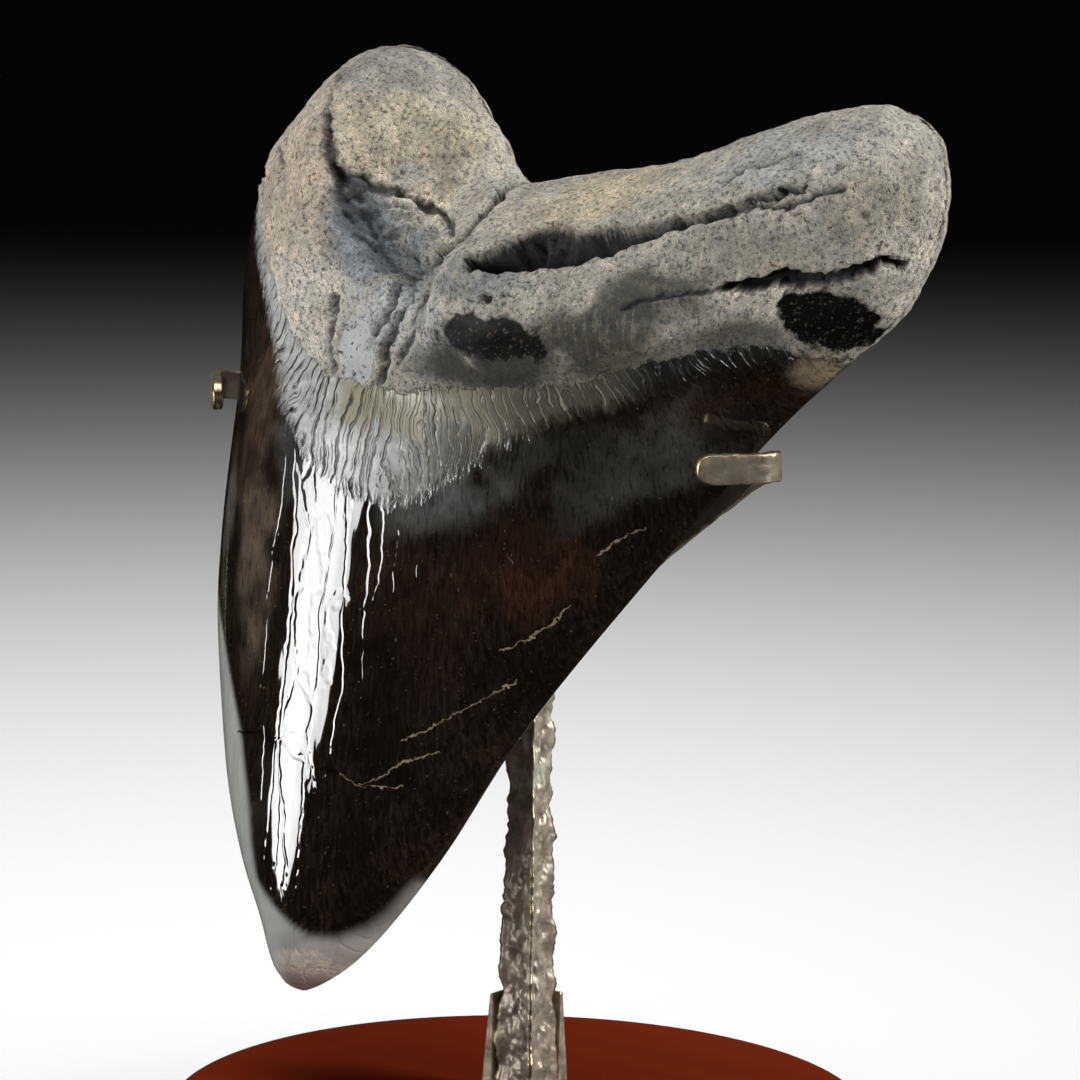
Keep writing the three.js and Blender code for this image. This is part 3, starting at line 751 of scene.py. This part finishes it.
to_right = ragged(tree, sideways_mm, smoke, 6, -16, 1)
plate_foot = add(tree, "MapRange", (plate, 0, 1, -2, 2))
plate_foot = add(tree, "Math", (field["over_top"], plate_foot), operation="ADD")
olive_row = add(tree, "MapRange", (plate_foot, -6.5, -5))
for low, high in ((-22, -17), (11, 1)):
    beside = add(tree, "MapRange", (sideways_mm, low, high))
    olive_row = add(tree, "Math", (olive_row, beside), operation="MULTIPLY")
ochre = add(tree, "MapRange", (add(tree, "TexNoise", (point, 0.33, 2, 0.5)), 0.72, 0.76, 0, 0.6))
dark_arc = add(tree, "MapRange", (field["over_top"], -4.4, -3.2, 0, 0.9))
far_right = add(tree, "MapRange", (sideways_mm, 22, 30))
pitted = add(tree, "MapRange", (add(tree, "TexNoise", (point, 0.6, 5, 0.7)), 0.35, 0.65))
band = paint(
    tree, paint(tree, "#868886", (pitted, "#b6b7b3")),
    (to_right, paint(tree, "#33302a", (add(tree, "TexNoise", (point, 0.35, 5, 0.65)), "#6b6759"))),
    (olive_row, paint(tree, "#6f6a54", (plate, "#938d73"))),
    (add(tree, "Math", (ochre, to_right), operation="MULTIPLY"), "#86653f"),
    (crack_line, paint(tree, "#1c1a17", (to_right, "#8d887a"))),
    (add(tree, "Math", (dark_arc, far_right), operation="MULTIPLY"), "#16120e"),
)

# %% [markdown]
# The root's stone has grains from a tenth of a millimetre up, some pale, some dark.
# Pale grains and streaks multiply what lies under them by more than one, so a dark
# stain stays dark below them. The painted shade in the fissures, the polished spots and
# the white spot, whose pale colour is partly a painted highlight, come last.

# %% Fossil: root
PALE_STREAK, PALE_GRAIN = (1.7, 1.5, 1.25, 1), (2.1, 2.0, 1.85, 1)
grain = add(tree, "TexNoise", (point, 1.5, 8, 0.75))
sparkle = add(tree, "TexNoise", (point, 5, 3, 0.6))
blotch = add(tree, "TexNoise", (point, 0.22, 6, 0.65))
streak = stretched_noise(tree, point, (0.8, 0.8, 0.25), 6, 0.7)
pores = stretched_noise(tree, point, (1.6, 1.6, 1.1), 3, 0.6)
veined = stretched_noise(tree, point, (1.2, 0.6, 0.2), 5, 0.6, (3, 3, 3))
veined = add(tree, "MapRange", (veined, 0.54, 0.6, 0, 0.6))
for value, low, high in ((sideways_mm, 12, 20), (field["over_top"], 13, 8)):
    veined = add(tree, "Math", (veined, add(tree, "MapRange", (value, low, high))), operation="MULTIPLY")
buffed = ragged(tree, field["polish"], edge_noise, 0.4, 0.35, 0.75)
white_spot_and_highlight = ragged(tree, field["white_spot_and_highlight"], edge_noise, 0.2, 0.4, 0.55, 0.92)
root = paint(
    tree, coat["root_coat"],
    (add(tree, "MapRange", (blotch, 0.42, 0.62, 0, 0.9)), "#cccdcf", "MULTIPLY"),
    (add(tree, "MapRange", (streak, 0.52, 0.66, 0, 0.7)), PALE_STREAK, "MULTIPLY"),
    (veined, "#7d7969"),
    (add(tree, "MapRange", (grain, 0.51, 0.37, 0, 0.95)), "#2f2e2c"),
    (add(tree, "MapRange", (pores, 0.36, 0.31, 0, 0.85)), "#1d1b19"),
    (add(tree, "MapRange", (sparkle, 0.55, 0.66, 0, 0.8)), PALE_GRAIN, "MULTIPLY"),
    # The hollow is painted a darker slate blue.
    (add(tree, "Math", (field["hollow"], 0.5), operation="MULTIPLY"),
     paint(tree, "#363c41", (add(tree, "MapRange", (grain, 0.42, 0.56)), "#8d979f"))),
    # Painted shade in the fissures, and near-black painted shade on the floors of the deepest.
    (add(tree, "Math", (field["fissure_shade"], 0.8), operation="MULTIPLY"), "#2c2f32"),
    (field["deep_shade"], paint(tree, "#0b0c0d", (add(tree, "MapRange", (streak, 0.5, 0.7)), "#2c3033"))),
    (buffed, paint(tree, "#0a0806", (add(tree, "MapRange", (fleck, 0.6, 0.72)), "#5b4d33"))),
    # The white spot: pale colour that is partly a painted highlight on the buffed stone.
    (white_spot_and_highlight, paint(tree, "#c9cccb", (add(tree, "MapRange", (pores, 0.42, 0.36)), "#4a4c4d"))),
)

# %% [markdown]
# Enamel, band and root now become one shader. The crown's roughness is that of a lens,
# the band's is half shiny, and the root's is matt. Fine relief goes into one bump in
# millimetres: grain on the root, grooves on the band and facets on the crown.

# %% Fossil: put together
ENAMEL_MATT, BAND_MATT, ROOT_MATT, BUFFED_MATT, WHITE_MATT = 0.035, 0.4, 0.8, 0.62, 0.22
GRAIN_MM, CRACK_MM, SWELL_MM, GROOVE_MM = 0.6, -0.22, 0.15, 0.035
tone = paint(tree, enamel, (band_here, band), (root_here, root))
root_matt = add(tree, "Mix", (buffed, ROOT_MATT, BUFFED_MATT))
root_matt = add(tree, "Mix", (field["white_spot_and_highlight"], root_matt, WHITE_MATT))
lower_matt = add(tree, "Mix", (band_here, ENAMEL_MATT, BAND_MATT))
matt = add(tree, "Mix", (root_here, lower_matt, root_matt))

unbuffed = add(tree, "Math", (1, buffed), operation="SUBTRACT")
coarse = add(tree, "Math", (unbuffed, root_here), operation="MULTIPLY")
stone = add(tree, "Math", (sparkle, 0.25, grain), operation="MULTIPLY_ADD")
stone = add(tree, "Math", (stone, coarse), operation="MULTIPLY")
grooves = add(tree, "Math", (crack_line, band_only), operation="MULTIPLY")
bare = add(tree, "Math", (1, band_here), operation="SUBTRACT", use_clamp=True)
facets = add(tree, "Math", (groove, -GROOVE_MM), operation="MULTIPLY")
facets = add(tree, "Math", (swell, SWELL_MM, facets), operation="MULTIPLY_ADD")
relief_mm = add(tree, "Math", (facets, bare), operation="MULTIPLY")
relief_mm = add(tree, "Math", (grooves, CRACK_MM, relief_mm), operation="MULTIPLY_ADD")
relief_mm = add(tree, "Math", (stone, GRAIN_MM, relief_mm), operation="MULTIPLY_ADD")
bump = add(tree, "Bump", {"Height": relief_mm, "Strength": 1, "Distance": MM})
buffed_root = add(tree, "Math", (buffed, root_here), operation="MULTIPLY")
sheen = add(tree, "Mix", (buffed_root, 0.5, 0.15))
shader = add(tree, "BsdfPrincipled", {"Base Color": tone, "Roughness": matt, "IOR": APATITE_IOR,
                                      "Normal": bump, "Specular IOR Level": sheen})
add(tree, "OutputMaterial", {"Surface": shader})
finish_piece("tooth_body", tooth_mesh, fossil, "tooth")

# %% [markdown]
# ## Bronze, and how it wears
# The stand is brown-patinated bronze. Hands and polishing cloths reach its ridges and
# rims, and there the patina is rubbed back to bright gold. So each vertex stores how
# far it stands out from its neighbours. The straps, which are handled most, are darker,
# and spots of green verdigris are left only lower down on the post and the shoe.

# %% Bronze pieces


def store_wear(mesh, passes=2):
    """Stores how far each vertex stands out of its surroundings, from 0 to 1."""
    co = rows_of(mesh)
    ends = np.empty(len(mesh.edges) * 2, int)
    mesh.edges.foreach_get("vertices", ends)
    a, b = ends.reshape(-1, 2).T
    degree = np.bincount(np.concatenate([a, b]), minlength=len(co))[:, None]
    soft = co.copy()
    for _ in range(passes):
        total = np.zeros_like(soft)
        np.add.at(total, a, soft[b])
        np.add.at(total, b, soft[a])
        soft = total / degree
    proud = ((co - soft) * rows_of(mesh, "vertex_normals", "vector")).sum(1)
    wear = np.clip(proud / (np.percentile(proud, 97) + 1e-9), 0, 1)
    mesh.attributes.new("wear", "FLOAT", "POINT").data.foreach_set("value", wear.astype(np.float32))


HANDLED_FROM, HANDLED_TO = 70 * MM, 90 * MM
bronze, tree = new_material("patinated_bronze")
place = add(tree, "TexCoord", output="Object")
wear = add(tree, "Attribute", output="Fac", attribute_name="wear")
mottle = add(tree, "TexNoise", (place, 420, 6, 0.65))
mottled = add(tree, "MapRange", (mottle, 0.3, 0.7))
rubbed = add(tree, "MapRange", (wear, 0.4, 0.9))
height = add(tree, "SeparateXYZ", (place,), output="Z")
handled = add(tree, "MapRange", (height, HANDLED_FROM, HANDLED_TO, 0, 0.7))
green = add(tree, "MapRange", (add(tree, "TexNoise", (place, 130, 5, 0.6)), 0.6, 0.68, 0, 0.8))
green = add(tree, "Math", (green, handled), operation="SUBTRACT", use_clamp=True)
tone = paint(tree, "#75695c", (mottled, "#c4b8a5"), (handled, "#6d6052"), (rubbed, "#cbb48c"),
             (green, "#9fb09a"))
bare_metal = add(tree, "MapRange", (rubbed, 0, 1, 0.4, 1))
metalness = add(tree, "Math", (bare_metal, green), operation="SUBTRACT", use_clamp=True)
matt = add(tree, "MapRange", (mottle, 0.3, 0.7, 0.25, 0.5))
bump = add(tree, "Bump", {"Height": mottle, "Strength": 0.7, "Distance": 0.2 * MM})
shader = add(tree, "BsdfPrincipled", {"Base Color": tone, "Metallic": metalness, "Roughness": matt,
                                      "Normal": bump})
add(tree, "OutputMaterial", {"Surface": shader})
print("bronze is handled above", round(HANDLED_FROM / MM), "mm")

# %% [markdown]
# ## The post
# The post is a square bar, thicker at the foot, cast and then worked so that no face
# is flat. A cube is stretched to the bar, its four upright edges are bevelled, and it
# is cut finely enough to be shaped with noise. Its corners keep a raised, broken seam.

# %% Post
POST_FOOT_SIDE, POST_TOP_SIDE = 6.4, 4.3
post_low, post_high = (np.array(c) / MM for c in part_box("post"))
post_axis = (post_low + post_high) / 2
post_height = post_high[2] - post_low[2]

BEVEL = {"offset_type": "OFFSET", "affect": "EDGES", "profile": 0.5, "material": -1}
bar = bmesh.new()
bmesh.ops.create_cube(bar, size=2)
upright = [e for e in bar.edges if abs(e.verts[0].co.z - e.verts[1].co.z) > 1]
bmesh.ops.bevel(bar, geom=upright, offset=0.16, segments=2, **BEVEL)
upright = [e for e in bar.edges if abs(e.verts[0].co.z - e.verts[1].co.z) > 1]
bmesh.ops.subdivide_edges(bar, edges=upright, cuts=260, use_grid_fill=True)
sides = [e for e in bar.edges if e.calc_length() > 1]
bmesh.ops.subdivide_edges(bar, edges=sides, cuts=15, use_grid_fill=True)
post_mesh = into_mesh(bar, "post_bar")
unit = rows_of(post_mesh)
climb = (unit[:, 2] + 1) / 2
half_side = (POST_FOOT_SIDE + (POST_TOP_SIDE - POST_FOOT_SIDE) * np.minimum(climb * 1.5, 1)) / 2
bar_points = np.stack([unit[:, 0] * half_side, unit[:, 1] * half_side, climb * post_height], 1)
outward = bar_points * [1, 1, 0]
outward /= np.maximum(np.linalg.norm(outward, axis=1), 1e-6)[:, None]
outward[np.abs(unit[:, 2]) > 0.999] *= 0
bumps = 0.65 * fractal(bar_points * [1, 1, 0.6], 2.2, 4) - 0.25
bumps += 0.5 * (0.2 - np.abs(fractal(bar_points * [1, 1, 0.6] + 60, 3.6, 2)))
seam = np.minimum(np.abs(unit[:, 0]), np.abs(unit[:, 1]))
bumps += 0.45 * smoothstep(0.76, 0.92, seam) * (1 + 0.7 * fractal(bar_points + 30, 1.6, 3))
bar_points += outward * bumps[:, None] + [*post_axis[:2], post_low[2]]
post_mesh.vertices.foreach_set("co", (bar_points * MM).ravel())
post_mesh.update()
store_wear(post_mesh, 4)
finish_piece("post_bar", post_mesh, bronze, "post")

# %% [markdown]
# ## The shoe
# The foot of the post stands in an angle of bronze, open towards the viewer. Its two
# wings are thin at the top and thick at the foot. An L-shaped face is extruded upward
# and its outer corners are drawn in, and then the edges are softened.

# %% Shoe
SHOE_TOP_T, SHOE_FOOT_T, SHOE_GAP = 0.7, 2.3, 0.3
shoe_low, shoe_high = (np.array(c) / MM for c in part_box("shoe"))
reach = POST_FOOT_SIDE / 2
inner = reach + SHOE_GAP


def angle_corners(thick):
    """The L-shaped section, with wings of this thickness."""
    outer = inner + thick
    return [(-outer, -reach), (-inner, -reach), (-inner, inner), (reach, inner), (reach, outer),
            (-outer, outer)]


angle = bmesh.new()
foot = [angle.verts.new((x, y, 0)) for x, y in angle_corners(SHOE_FOOT_T)]
sole = angle.faces.new(foot)
raised = bmesh.ops.extrude_face_region(angle, geom=[sole])
tops = [v for v in raised["geom"] if isinstance(v, bmesh.types.BMVert)]
for vert in tops:
    nearest = min(range(6), key=lambda k: (Vector(foot[k].co.xy) - vert.co.xy).length)
    vert.co = Vector((*angle_corners(SHOE_TOP_T)[nearest], shoe_high[2] - shoe_low[2]))
bmesh.ops.recalc_face_normals(angle, faces=angle.faces[:])
bmesh.ops.bevel(angle, geom=angle.edges[:], offset=0.22, segments=2, **BEVEL)
bmesh.ops.triangulate(angle, faces=[f for f in angle.faces if len(f.verts) > 4])
long_edges = [e for e in angle.edges if e.calc_length() > 1.5]
bmesh.ops.subdivide_edges(angle, edges=long_edges, cuts=6, use_grid_fill=True)
bmesh.ops.translate(angle, verts=angle.verts[:], vec=(*post_axis[:2], shoe_low[2]))
shoe_mesh = into_mesh(angle, "post_shoe", MM)
store_wear(shoe_mesh)
finish_piece("post_shoe", shoe_mesh, bronze, "shoe", smooth=False)

# %% [markdown]
# ## The straps and their fingers
# Each strap is one flat bar: it leaves the post, runs up behind the tooth, turns round
# the cutting edge and ends in a finger that points inward over the front. A small
# upright face is extruded from bend to bend, and the last steps shrink into a round tip.

# %% Straps
ARM_WIDTH, ARM_T = 4.2, 1.5
FINGER_Z = BASE_TOP / MM + 96.5
ARM_ROOT = (3.4, 1.8, BASE_TOP / MM + 67.5)
FINGER_LENGTH, FINGER_ANGLE = 7.5, math.pi / 4
BEND_INSET, BEND_Y, BEND_DROP = 5.5, 5.6, 1.5
SECTION = ((-1, -1), (1, -1), (1, 1), (-1, 1))
RIM_ANGLE = 0.9
HAMMERED_MM, HAMMER_SIZE = 0.14, 1.4


def strap_line(side, corner_x, corner_y):
    """Middle of the strap as the solid model bends it, from the post to the finger's end."""
    reach_in = FINGER_LENGTH * math.cos(FINGER_ANGLE)
    return [
        (side * ARM_ROOT[0], ARM_ROOT[1], ARM_ROOT[2]),
        (corner_x - side * BEND_INSET, BEND_Y, FINGER_Z - BEND_DROP),
        (corner_x - side * 1.2, corner_y + 2, FINGER_Z - 0.3),
        (corner_x, corner_y, FINGER_Z),
        (corner_x - side * 0.4, corner_y - 2.2, FINGER_Z),
        (corner_x - side * reach_in, corner_y - 2.2 - reach_in, FINGER_Z),
    ]


def cut_corners(line, times):
    """Rounds a bent line by cutting its corners again and again."""
    for _ in range(times):
        shorter = [line[0]]
        for a, b in zip(line, line[1:]):
            shorter += [a.lerp(b, 0.25), a.lerp(b, 0.75)]
        line = shorter + [line[-1]]
    return line


def build_strap(name, node, side, corner_x, corner_y, shift):
    line = cut_corners([Vector(p) for p in strap_line(side, corner_x, corner_y)], 2)
    heading = (line[-1] - line[-2]).normalized()
    end = line[-1]
    heights = [ARM_WIDTH / 2] * len(line)
    for degrees in range(15, 90, 15):
        a = math.radians(degrees)
        line.append(end + heading * ARM_WIDTH / 2 * math.sin(a))
        heights.append(ARM_WIDTH / 2 * math.cos(a))
    bar = bmesh.new()
    section = bar.faces.new([bar.verts.new((0, a, b)) for a, b in SECTION])
    for k, (middle, height) in enumerate(zip(line, heights)):
        ahead = line[min(k + 1, len(line) - 1)] - line[max(k - 1, 0)]
        flat = Vector((ahead.y, -ahead.x, 0)).normalized()
        if k:
            grown = bmesh.ops.extrude_face_region(bar, geom=[section])["geom"]
            bar.faces.remove(section)
            section = next(f for f in grown if isinstance(f, bmesh.types.BMFace))
        for vert, (a, b) in zip(section.verts, SECTION):
            vert.co = middle + flat * (a * ARM_T / 2) + Vector((0, 0, b * height))
    bmesh.ops.recalc_face_normals(bar, faces=bar.faces[:])
    rims = [e for e in bar.edges if len(e.link_faces) == 2 and e.calc_face_angle(0) > RIM_ANGLE]
    bmesh.ops.bevel(bar, geom=rims, offset=0.32, segments=3, **BEVEL)
    for size in (3.0, 1.2, 0.6):
        long_edges = [e for e in bar.edges if e.calc_length() > size]
        bmesh.ops.subdivide_edges(bar, edges=long_edges, cuts=1, use_grid_fill=True)
    bmesh.ops.triangulate(bar, faces=[f for f in bar.faces if len(f.verts) > 4])
    bar.normal_update()
    for vert in bar.verts:
        dent = noise.fractal(vert.co / HAMMER_SIZE + shift, 0.9, 2.1, 4)
        vert.co += vert.normal * HAMMERED_MM * dent
    mesh = into_mesh(bar, name, MM)
    store_wear(mesh, 3)
    finish_piece(name, mesh, bronze, node)


build_strap("strap_right", "arm_right", 1, 41, 1.2, Vector((0, 0, 0)))
build_strap("strap_left", "arm_left", -1, -56, 1.2, Vector((5, 3, 1)))

# %% [markdown]
# ## The base
# The base is a wooden disc, turned on a lathe and lacquered dark red-brown. Half of its
# outline is drawn and spun round the axis, which is what the lathe did. The lacquer is
# a thin clear coat with a few specks of dust under it. The disc is kept out of mirror
# reflections, as a black card would do in a studio, or the crown would turn red.

# %% Base
BASE_EDGE_R = 1.2
BASE_CHAMFER = 1
base_low, base_high = (np.array(c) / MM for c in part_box("base"))
radius = (base_high[0] - base_low[0]) / 2
profile = [(0, base_low[2]), (radius - BASE_CHAMFER, base_low[2]), (radius, base_low[2] + BASE_CHAMFER)]
for degrees in range(0, 91, 10):
    a = math.radians(degrees)
    profile.append((radius - BASE_EDGE_R * (1 - math.cos(a)),
                    base_high[2] - BASE_EDGE_R * (1 - math.sin(a))))
profile += [(radius * share, base_high[2]) for share in (0.8, 0.55, 0.3, 0)]
disc = bmesh.new()
line = [disc.verts.new((x, 0, z)) for x, z in profile]
edges = [disc.edges.new(pair) for pair in zip(line, line[1:])]
bmesh.ops.spin(disc, geom=line + edges, axis=(0, 0, 1), cent=(0, 0, 0), steps=240,
               angle=2 * math.pi, use_merge=True)
bmesh.ops.remove_doubles(disc, verts=disc.verts[:], dist=0.001)
bmesh.ops.recalc_face_normals(disc, faces=disc.faces[:])
base_mesh = into_mesh(disc, "base_disc", MM)

lacquer, tree = new_material("lacquered_wood")
place = add(tree, "TexCoord", output="Object")
along_grain = add(tree, "Mapping", {"Vector": place, "Scale": (25, 220, 220)})
wood = add(tree, "TexNoise", {"Vector": along_grain, "Scale": 1, "Detail": 5, "Distortion": 0.6})
specks = add(tree, "MapRange", (add(tree, "TexVoronoi", (place, 260)), 0.05, 0.08, 0.6, 0))
tone = paint(tree, "#7e240e", (wood, "#903410"), (specks, "#a0583c"))
shader = add(tree, "BsdfPrincipled", {"Base Color": tone, "Roughness": 0.35, "IOR": 1.5,
                                      "Coat Weight": 0.6, "Coat Roughness": 0.12})
add(tree, "OutputMaterial", {"Surface": shader})
base_disc = finish_piece("base_disc", base_mesh, lacquer, "base")
base_disc.visible_glossy = False

# %% [markdown]
# ## Screw and felt
# The screw and the felt pad are already the right shape in the solid model, and they
# are seen only from below, so they stay and get their finishes: bright turned steel,
# and matt black felt with a short fibre.

# %% Screw and felt
steel, tree = new_material("turned_steel")
place = add(tree, "TexCoord", output="Object")
matt = add(tree, "MapRange", (add(tree, "TexNoise", (place, 900, 3)), 0, 1, 0.25, 0.45))
shader = add(tree, "BsdfPrincipled", {"Base Color": "#c6c4be", "Metallic": 1, "Roughness": matt})
add(tree, "OutputMaterial", {"Surface": shader})

felt, tree = new_material("wool_felt")
fuzz = add(tree, "TexNoise", (add(tree, "TexCoord", output="Object"), 1500, 4, 0.8))
tone = paint(tree, "#111110", (fuzz, "#2d2c2a"))
bump = add(tree, "Bump", {"Height": fuzz, "Strength": 0.7, "Distance": 0.3 * MM})
shader = add(tree, "BsdfPrincipled", {"Base Color": tone, "Roughness": 0.95, "Sheen Weight": 0.3,
                                      "Normal": bump})
add(tree, "OutputMaterial", {"Surface": shader})
for node, material in (("base_screw", steel), ("felt_pad", felt)):
    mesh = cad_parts[node].data
    mesh.materials.clear()
    mesh.materials.append(material)
    print(node, "gets", material.name)

# %% [markdown]
# ## Floor and light
# A pale floor is lit from above just behind the object, and the light dies away with
# distance, so the floor runs from white up close to black far off. A tall softbox at
# the left gives the polished crown its bright stripe, and a weak one at the right
# lights the root and the stand. The crown should mirror a dark room, so the floor is
# kept out of mirror reflections too.

# %% Floor and lights
sheet = bmesh.new()
bmesh.ops.create_grid(sheet, x_segments=1, y_segments=1, size=6)
floor_mesh = into_mesh(sheet, "floor")
paper, tree = new_material("pale_paper")
shader = add(tree, "BsdfPrincipled", {"Base Color": "#f0f0f0", "Roughness": 0.9, "Specular IOR Level": 0.1})
add(tree, "OutputMaterial", {"Surface": shader})
floor_mesh.materials.append(paper)
floor = bpy.data.objects.new("floor", floor_mesh)
floor.location.z = CAD_BOX[0].z
scene.collection.objects.link(floor)
floor.visible_glossy = False

world = bpy.data.worlds.new("studio")
world.use_nodes = True
world.node_tree.nodes["Background"].inputs["Color"].default_value = (1, 1, 1, 1)
world.node_tree.nodes["Background"].inputs["Strength"].default_value = 0.0015
scene.world = world
scene.view_settings.view_transform = "Standard"
scene.view_settings.look = "None"

OVERHEAD_TILT = math.radians(16.4)
away = -direction(CAMERA_AZIMUTH, 0)


def softbox(name, place, target, size, watts, spread):
    """A rectangular lamp that faces its target, with a grid that narrows its beam."""
    lamp = bpy.data.lights.new(name, "AREA")
    lamp.shape = "RECTANGLE"
    lamp.size, lamp.size_y = size
    lamp.energy = watts
    lamp.spread = math.radians(spread)
    holder = bpy.data.objects.new(name, lamp)
    holder.location = place
    holder.rotation_euler = (target - place).to_track_quat("-Z", "Y").to_euler()
    scene.collection.objects.link(holder)
    print(name, "at", [round(c, 3) for c in place], watts, "W")


strip_way = direction(math.radians(-38), 0)
strip_at = strip_way * 0.55 + Vector((0, 0, 0.152))
softbox("strip_left", strip_at, strip_at - strip_way + Vector((0, 0, 0.27)), (0.264, 0.3), 0.62, 60)
fill_at = direction(math.radians(108), math.radians(22)) * 0.8 + Vector((0, 0, 0.1))
softbox("fill_right", fill_at, Vector((0, 0, 0.13)), (0.4, 0.4), 0.68, 40)
over = away * 0.045 + Vector((0, 0, 0.6))
down = away * math.sin(OVERHEAD_TILT) - Vector((0, 0, math.cos(OVERHEAD_TILT)))
softbox("overhead", over, over + down, (0.6, 0.53), 0.95, 55)
